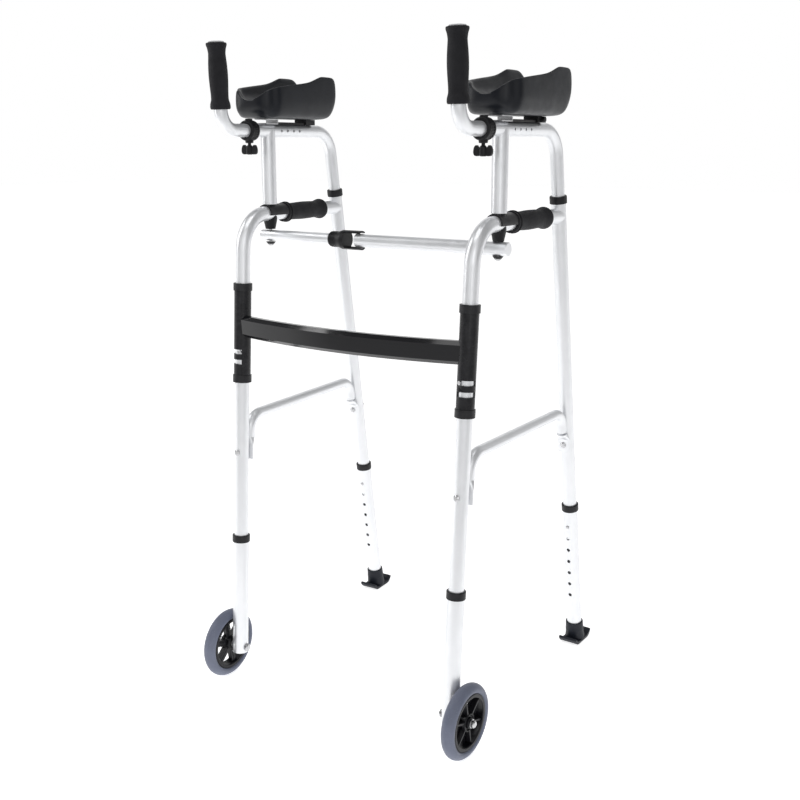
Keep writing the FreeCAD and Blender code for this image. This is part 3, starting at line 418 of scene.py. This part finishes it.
ARM_STATIONS = (
    # place along the pad, half width, rim height, trough height, underside height
    (82.4, 12.0, 1048.0, 1045.8, 1041.0),
    (83.4, 23.0, 1052.0, 1045.2, 1034.0),
    (86.2, 31.0, 1057.4, 1044.8, 1028.0),
    (90.5, 36.0, 1062.0, 1044.4, 1024.0),
    (95.0, 38.2, 1064.4, 1044.2, 1020.6),
    (98.5, 39.4, 1065.6, 1044.1, 1018.6),
    (102.5, 42.6, 1067.0, 1044.0, 1017.4),
    (107.5, 46.4, 1068.4, 1044.0, 1016.6),
    (115.0, 47.6, 1069.6, 1044.0, 1016.5),
    (133.0, 47.9, 1072.2, 1044.0, 1016.5),
    (160.0, 48.4, 1075.6, 1044.0, 1016.5),
    (188.0, 48.7, 1079.0, 1044.0, 1016.5),
    (202.0, 48.8, 1082.4, 1044.0, 1016.5),
    (214.0, 48.9, 1086.4, 1044.0, 1016.5),
    (227.0, 48.9, 1090.9, 1044.0, 1016.5),
    (233.0, 48.9, 1091.9, 1044.0, 1016.5),
    (257.0, 48.8, 1091.9, 1044.3, 1016.6),
    (266.0, 48.3, 1091.5, 1045.0, 1019.0),
    (274.0, 47.6, 1089.0, 1046.0, 1029.0),
    (279.6, 46.0, 1079.0, 1049.0, 1046.0),
)
ARM_OUTSIDE = (
    # share of the half width, how far pulled in, share of the height, how far raised
    (0.0, 0.0, 0.0, 0.0), (0.42, 0.0, 0.0, 0.0), (0.76, 0.0, 0.0, 0.4), (0.93, 0.0, 0.10, 0.0),
    (1.0, 0.0, 0.34, 0.0), (1.0, 0.0, 0.66, 0.0), (1.0, 1.2, 1.0, -2.6), (1.0, 3.0, 1.0, 0.0),
)
ARM_WALL, ARM_WALL_SHARE = 9.0, 0.3  # thickness of the wings, at most this share of the half width
TROUGH_BEND = 0.985                 # 1 would bend like a quarter of an ellipse
RIM_DROP = 1.2                      # how far the inner rim lies under the outer one


def arm_pad():
    """A moulded forearm trough: narrow rounded nose, low front wings and raised rear wings."""
    mesh = bmesh.new()
    rings = []
    for place, half, rim, trough, low in ARM_STATIONS:
        outer = [(half * width - inward, low + (rim - low) * share + lift)
                 for width, inward, share, lift in ARM_OUTSIDE]
        inside = half - min(ARM_WALL, half * ARM_WALL_SHARE)
        inner = []
        for k in range(len(outer)):
            across = math.sin(k / (len(outer) - 1) * math.pi / 2)
            lift = 1 - math.sqrt(1 - across ** 2 * TROUGH_BEND)
            inner.append((across * inside, trough + lift * (rim - trough - RIM_DROP)))
        ring = {}
        for row, line in (("outer", outer), ("inner", inner)):
            right = [mesh.verts.new((x * MM, place * MM, z * MM)) for x, z in line]
            left = [mesh.verts.new((-x * MM, place * MM, z * MM)) for x, z in line[1:]]
            ring[row] = left[::-1] + right
        rings.append(ring)
    for a, b in zip(rings, rings[1:]):
        for row in ("outer", "inner"):
            for i in range(len(a[row]) - 1):
                mesh.faces.new((a[row][i], a[row][i + 1], b[row][i + 1], b[row][i]))
        for end in (0, -1):
            mesh.faces.new((a["outer"][end], a["inner"][end], b["inner"][end], b["outer"][end]))
    for ring in (rings[0], rings[-1]):
        outer, inner = ring["outer"], ring["inner"]
        for i in range(len(outer) - 1):
            mesh.faces.new((outer[i], outer[i + 1], inner[i + 1], inner[i]))
    bmesh.ops.recalc_face_normals(mesh, faces=mesh.faces)
    return mesh


for pad in pair("arm_pad_skin", arm_pad, "pad_cover", "frame", "arm_pad", subdivide=2):
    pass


# ---------------------------------------------------------------- grips

GRIP_BAR_HEIGHT, HOOK_PLACE = 854, 168
HANDLE = moved(y=9.5, z=996) @ turned(2.7, "X")


def hand_grip():
    """Foam grip of the grip bar: flange and hook at the front, palm swell, flared rear end."""
    bore, front, rear = 12.72, 175.2, 288.0
    flange = [(bore, front), (17.6, front), (18.4, 176.0), (18.4, 178.0), (17.4, 178.9),
              (15.2, 178.9)]
    outline = curve_through([(15.0, 179), (14.9, 186), (15.3, 204), (16.0, 226), (15.7, 248),
                             (15.2, 264), (16.4, 273), (18.0, 280), (18.5, 283.5)])
    end = curve_through([(18.5, 283.5), (18.0, 286.6), (16.2, rear)], 4)
    grip = shifted(lathe(flange + outline + end[1:] + [(bore, rear)]), ALONG_Y)
    hook = lathe([(12.9, 0), (16.2, 0), (17.4, 1.2), (17.4, 5), (16.2, 6), (12.9, 6)])
    shifted(hook, moved(y=HOOK_PLACE) @ ALONG_Y)
    return shifted(join(grip, hook), moved(z=GRIP_BAR_HEIGHT))


def handle_grip():
    """Upright foam grip: rounded flares at both ends and a swell for the palm."""
    bore, low, high = 11.12, 33.0, 137.0
    outline = curve_through([
        (15.0, low), (16.2, low + 1.2), (16.7, low + 4), (16.2, low + 9), (14.6, low + 15),
        (14.4, low + 23), (15.2, low + 38), (15.7, low + 54), (15.2, low + 70), (14.3, low + 82),
        (14.1, low + 88), (15.2, high - 9), (16.5, high - 5), (16.8, high - 2.4),
        (16.0, high - 0.5), (13.6, high)])
    return shifted(lathe([(bore, low)] + outline + [(bore, high)]), HANDLE)


pair("hand_grip_foam", hand_grip, "foam", "frame", "hand_grip")
pair("handle_grip_foam", handle_grip, "foam", "handle", "handle_grip")


# ---------------------------------------------------------------- wheels

WHEEL_R, WHEEL_HALF, TYRE_SEAT = 63.5, 12.0, 48.5
WHEEL_OUT = 28.5                    # middle of the wheel, outwards from the leg's axis
AXLE_ALONG = WHEEL_R / math.cos(math.radians(FRONT_LEAN))
WHEEL = FRONT_AXIS @ moved(x=WHEEL_OUT, z=AXLE_ALONG) @ ALONG_X
SPOKES, FIRST_SPOKE = 6, 15         # number, and degrees of the first one


def tyre():
    """Smooth tyre with a rounded tread, the same on both sides."""
    r, half, seat = WHEEL_R, WHEEL_HALF, TYRE_SEAT
    side = curve_through([(seat + 0.2, half - 2.4), (seat + 2.2, half - 0.5), (seat + 5.4, half),
                          (r - 6.0, half - 1.4), (r - 2.8, half - 4.4), (r - 0.7, half - 8.2),
                          (r, 0.0)], 5)
    other = [(radius, -height) for radius, height in reversed(side[:-1])]
    edge = half - 3.0
    return shifted(lathe([(seat, edge)] + side + other + [(seat, -edge)], FINEST), WHEEL)


def wheel_hub():
    """Rim with a rolled lip, hub with a raised ring, and six ribbed spokes with a thin web."""
    seat, lip = TYRE_SEAT - 0.1, 41.0
    rim = lathe((
        (seat, 9.4), (seat, -9.4), (seat - 1.6, -10.4), (lip + 1.4, -10.4), (lip + 0.2, -9.2),
        (lip + 2.4, -3.0), (lip + 2.4, 3.0), (lip + 0.2, 9.2), (lip + 1.4, 10.4),
        (seat - 1.6, 10.4)), FINE)
    boss = lathe((
        (4.1, -12), (10.0, -12), (12.6, -9), (12.9, 2.0), (14.8, 3.0), (15.2, 7.6), (14.4, 8.6),
        (13.2, 8.4), (12.6, 6.0), (9.6, 6.0), (9.2, 10.6), (8.4, 11.2), (4.1, 11.2)))
    parts = [rim, boss]
    length, middle = 31.5, 27.2
    for i in range(SPOKES):
        spin = turned(FIRST_SPOKE + 360 / SPOKES * i, "Z")
        rib = brick(size=(length, 3.4, 13.5), centre=(middle, 0, 0.5))
        web = brick(size=(length, 12.5, 3.0), centre=(middle, 0, -4.0))
        parts += [shifted(rib, spin), shifted(web, spin)]
    return shifted(join(*parts), WHEEL)


pair("tyre_tread", tyre, "tyre", "wheel", "tyre")
pair("wheel_rim", wheel_hub, "hub_black", "wheel", "wheel_hub", bevel=0.6)


# ---------------------------------------------------------------- feet

SKI_HALF_WIDTH, SKI_FORWARD = 19, 2


def glide_foot():
    """Tapered collar with two grip rings on a ski that curls up at both ends."""
    collar = lathe((
        (0, 5.2), (18.9, 5.2), (19.2, 7.0), (18.3, 14.0), (17.6, 24.0), (17.9, 25.0), (17.9, 27.0),
        (17.5, 28.0), (17.1, 40.5), (16.6, 42.9), (15.6, 43.5), (14.32, 43.5), (14.32, 30.0),
        (0, 30.0)))
    shifted(collar, REAR_AXIS)
    under = curve_through([(-34.5, 12.0), (-31.0, 6.4), (-26.0, 2.0), (-19.0, 0.05), (0.0, 0.0),
                           (19.0, 0.05), (26.0, 2.0), (31.0, 6.4), (34.5, 12.0)], 5)
    above = curve_through([(31.2, 15.0), (27.2, 10.4), (22.6, 6.9), (15.0, 5.4), (0.0, 5.4),
                           (-15.0, 5.4), (-22.6, 6.9), (-27.2, 10.4), (-31.2, 15.0)], 5)
    ski = slab(under + above, -SKI_HALF_WIDTH, SKI_HALF_WIDTH)
    shifted(ski, moved(y=REAR_BASE - SKI_FORWARD))
    return join(collar, ski)


pair("glide_foot_shell", glide_foot, "rubber_foot", "rear_leg", "glide_foot", bevel=0.9)


# ---------------------------------------------------------------- coupler, clamps and brackets

BAR_PLACE = Vector(JOINTS["left_bar_swing"]["pos_m"])
RING = moved(y=80, z=996)
TEETH = 24
TUBE_TOP, PAD_LOW = 1007.1, 1016.5
BRACKET_MIDDLE, BRACKET_ROOM = (PAD_LOW + TUBE_TOP) / 2, PAD_LOW - TUBE_TOP


def clamp_ring():
    """A banded clamp with toothed lips, a lug on top and a boss for the screw below."""
    ring = lathe((
        (11.25, -10), (15.4, -10), (16.6, -9.2), (17.0, -8.0), (17.0, -5.6), (15.9, -4.6),
        (15.9, 4.6), (17.0, 5.6), (17.0, 8.0), (16.6, 9.2), (15.4, 10), (11.25, 10)), FINE)
    shifted(ring, ALONG_Y)
    teeth = []
    for i in range(TEETH):
        tooth = brick(size=(1.6, 9.0, 1.2), centre=(0, 0, 16.3))
        teeth.append(shifted(tooth, turned(360 / TEETH * i, "Y")))
    boss = lathe((
        (3.1, -20.8), (5.8, -20.8), (6.8, -19.8), (7.4, -15.0), (7.4, -12.0), (3.1, -12.0)))
    lug = lathe((
        (0, 14.0), (6.4, 14.0), (6.4, 18.4), (5.6, 19.6), (2.6, 19.8), (2.4, 18.6), (0, 18.6)))
    return shifted(join(ring, boss, lug, *teeth), RING)


def wing_screw():
    """Screw with a round hub and two curved wings."""
    core = lathe((
        (0, -40), (3.8, -40), (5.4, -39.2), (6.0, -37.6), (6.0, -28.4), (5.2, -26.0), (3.8, -24.2),
        (2.85, -24.0), (2.85, -11.4), (0, -11.4)))
    wing = curve_through([
        (3.0, -38.2), (8.6, -39.6), (13.6, -38.8), (15.8, -35.0), (15.4, -29.0), (13.2, -24.6),
        (10.2, -23.7), (8.0, -26.4), (5.6, -29.2), (3.0, -30.0)], 4)
    half_thick = 2.7
    wings = [shifted(slab([(side * x, z) for x, z in wing], -half_thick, half_thick),
                     turned(-90, "Z")) for side in (1, -1)]
    return shifted(join(core, *wings), RING)


def handle_cap():
    """Domed cap on the handle's end, with its plug."""
    cap = lathe((
        (0, 126), (9.4, 126), (9.4, 137.1), (12.8, 137.1), (12.9, 138.0), (11.8, 138.9),
        (7.0, 139.6), (0, 139.8)))
    return shifted(cap, HANDLE)


def front_plate():
    """Folded plate under the front of the arm pad."""
    width, length, sheet, middle, fold = 26, 34, 2, 129, 145
    return join(brick((width, length, sheet), (0, middle, TUBE_TOP + sheet / 2)),
                brick((width, length, sheet), (0, middle, PAD_LOW - sheet / 2)),
                brick((width, sheet, BRACKET_ROOM), (0, fold, BRACKET_MIDDLE)))


def slide_block():
    """Sliding strip and rear block under the arm pad, with the knob at the block's side."""
    strip_high, block_place, knob_out = 4, 243, 12.8
    strip = brick((20, 81, strip_high), (0, 187.5, TUBE_TOP + strip_high / 2))
    block = brick((26, 28, BRACKET_ROOM), (0, block_place, BRACKET_MIDDLE))
    knob = lathe(((0, -6.4), (3.6, -6.4), (4.2, -5.6), (4.2, 3), (0, 3)))
    shifted(knob, moved(knob_out, block_place, BRACKET_MIDDLE) @ turned(-90, "Y"))
    return join(strip, block, knob)


def arc(radius, start, end, step):
    """Corners along a circle, by degrees."""
    return [(radius * math.cos(math.radians(angle)), radius * math.sin(math.radians(angle)))
            for angle in range(start, end, step)]


def coupler():
    """Ribbed barrel on the left tube, and a fork above and below the right tube."""
    low, step, web, tip = -94.0, -66.0, -60.0, -29.2
    bore, inner, outer = 9.6, 13.5, 16.4
    barrel = lathe((
        (bore, low), (11.6, low), (13.0, low + 1.6), (13.1, step - 12), (14.6, step - 7),
        (16.2, step - 2), (outer, step), (outer, web), (0, web), (0, -71.8), (bore, -71.8)), FINE)
    shifted(barrel, ALONG_X)
    first_rib, rib_step, rib_count = low + 4, 2.6, 5
    ribs = []
    for i in range(rib_count):
        rib = lathe(((12.9, -0.5), (inner, -0.4), (inner, 0.4), (12.9, 0.5)), FINE)
        ribs.append(shifted(rib, ALONG_X @ moved(z=first_rib + rib_step * i)))
    prong = arc(outer, 54, 127, 6) + arc(inner, 120, 59, -6)
    prongs = [slab([(y, side * z) for y, z in prong], web - 1, tip) for side in (1, -1)]
    return shifted(join(barrel, *ribs, *prongs), Matrix.Translation((0, BAR_PLACE.y, BAR_PLACE.z)))


piece("bar_fork", coupler(), "black_plastic", "left_bar", ("bar_coupler",), bevel=0.5)
pair("clamp_band", clamp_ring, "black_plastic", "frame", "clamp_ring", bevel=0.4)
pair("wing_screw_knob", wing_screw, "black_plastic", "screw", "wing_screw", bevel=1.0)
pair("handle_end_cap", handle_cap, "grey_cap", "handle", "handle_cap")
pair("pad_front_plate", front_plate, "steel", "frame", "pad_bracket", bevel=0.4)
pair("pad_slide_block", slide_block, "black_plastic", "frame", "pad_bracket", bevel=0.5)


# ---------------------------------------------------------------- carried CAD nodes

SLOTS = {row["node"]: row["material_slot"] for row in frame["record"]["subparts"]}
for node, obj in NODES.items():
    obj.data.materials.clear()
    obj.data.materials.append(MATERIALS[SLOTS[node]])


# ---------------------------------------------------------------- studio

HEADING = math.radians(32.57)       # how far the camera looks round from straight ahead
VIEWER, LOOKING_DOWN, FOCAL_LENGTH = (0.9625, -1.5312, 0.9754), 14.14, 45.9
SIDES, ENDS = 0.24, 1.0             # brightness of the surroundings at the sides, and at both ends
BEHIND, BEFORE = (0.60, 0.88), (-0.50, -0.90)   # where they fade from sides to ends, as a cosine
FLOOR_SIZE, FLOOR_HEIGHT, FLOOR_FADE = 40.0, -0.0005, (-1.4, -0.5)
FLOOR_LOOK = (("Emission Strength", 0.25, 0.72), ("Base Color", 0.75, 0.90))  # near, and far
LAMPS = (
    # name, place from the middle of the frame, width, height, watts
    ("key", (-2.2, -1.1, 1.3), 0.7, 2.4, 22.0),
    ("fill", (1.9, -2.2, 1.0), 0.35, 2.4, 4.0),
    ("top", (0.2, -0.6, 2.6), 1.6, 1.6, 16.0),
    ("rim", (1.6, 2.2, 1.2), 0.6, 2.4, 3.0),
)


def along_heading(tree, coordinates):
    """How far a place or a direction goes along the camera's heading."""
    node = tree.nodes.new("ShaderNodeVectorMath")
    node.operation = "DOT_PRODUCT"
    node.inputs[1].default_value = (-math.sin(HEADING), math.cos(HEADING), 0.0)
    tree.links.new(tree.nodes.new("ShaderNodeTexCoord").outputs[coordinates], node.inputs[0])
    return node.outputs["Value"]


def faded(tree, value, window, low, high):
    node = tree.nodes.new("ShaderNodeMapRange")
    for key, number in zip(("From Min", "From Max", "To Min", "To Max"), (*window, low, high)):
        node.inputs[key].default_value = number
    tree.links.new(value, node.inputs["Value"])
    return node.outputs["Result"]


def surroundings():
    """A white world that is dimmer at the sides, so that the tubes have darker edges."""
    world = bpy.data.worlds.new("studio")
    bpy.context.scene.world = world
    world.use_nodes = True
    tree = world.node_tree
    along = along_heading(tree, "Generated")
    brighter = tree.nodes.new("ShaderNodeMath")
    brighter.operation = "MAXIMUM"
    for i, window in enumerate((BEHIND, BEFORE)):
        tree.links.new(faded(tree, along, window, SIDES, ENDS), brighter.inputs[i])
    background = tree.nodes["Background"].inputs
    tree.links.new(brighter.outputs["Value"], background["Strength"])
    background["Color"].default_value = (1.0, 1.0, 1.0, 1.0)


def studio():
    """Plain pale floor and tall soft lights."""
    scene = bpy.context.scene
    scene.view_settings.view_transform = "Standard"
    bpy.ops.mesh.primitive_plane_add(size=FLOOR_SIZE)
    floor = bpy.context.object
    floor.name = "studio_floor"
    pale = bpy.data.materials.new("studio_floor")
    pale.use_nodes = True
    tree = pale.node_tree
    surface = tree.nodes["Principled BSDF"].inputs
    surface["Roughness"].default_value = 0.8
    surface["Emission Color"].default_value = (1.0, 1.0, 1.0, 1.0)
    along = along_heading(tree, "Object")
    for key, near, far in FLOOR_LOOK:
        tree.links.new(faded(tree, along, FLOOR_FADE, near, far), surface[key])
    floor.data.materials.append(pale)
    floor.location.z = FLOOR_HEIGHT
    floor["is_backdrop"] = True
    low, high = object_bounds()
    centre = (low + high) / 2
    for name, spot, wide, tall, power in LAMPS:
        light = bpy.data.lights.new(name, "AREA")
        light.shape = "RECTANGLE"
        light.size, light.size_y, light.energy = wide, tall, power
        lamp = bpy.data.objects.new(name, light)
        scene.collection.objects.link(lamp)
        lamp.location = centre + Vector(spot)
        lamp.rotation_euler = (centre - lamp.location).to_track_quat("-Z", "Y").to_euler()


def camera():
    """Seen from the front, turned towards the right-hand side and from a little above the pads."""
    lens = bpy.data.cameras.new("camera")
    lens.sensor_width, lens.lens = 36.0, FOCAL_LENGTH
    viewer = bpy.data.objects.new("camera", lens)
    bpy.context.scene.collection.objects.link(viewer)
    viewer.location = VIEWER
    viewer.rotation_euler = (math.radians(90 - LOOKING_DOWN), 0.0, HEADING)
    bpy.context.scene.camera = viewer


surroundings()
studio()
camera()
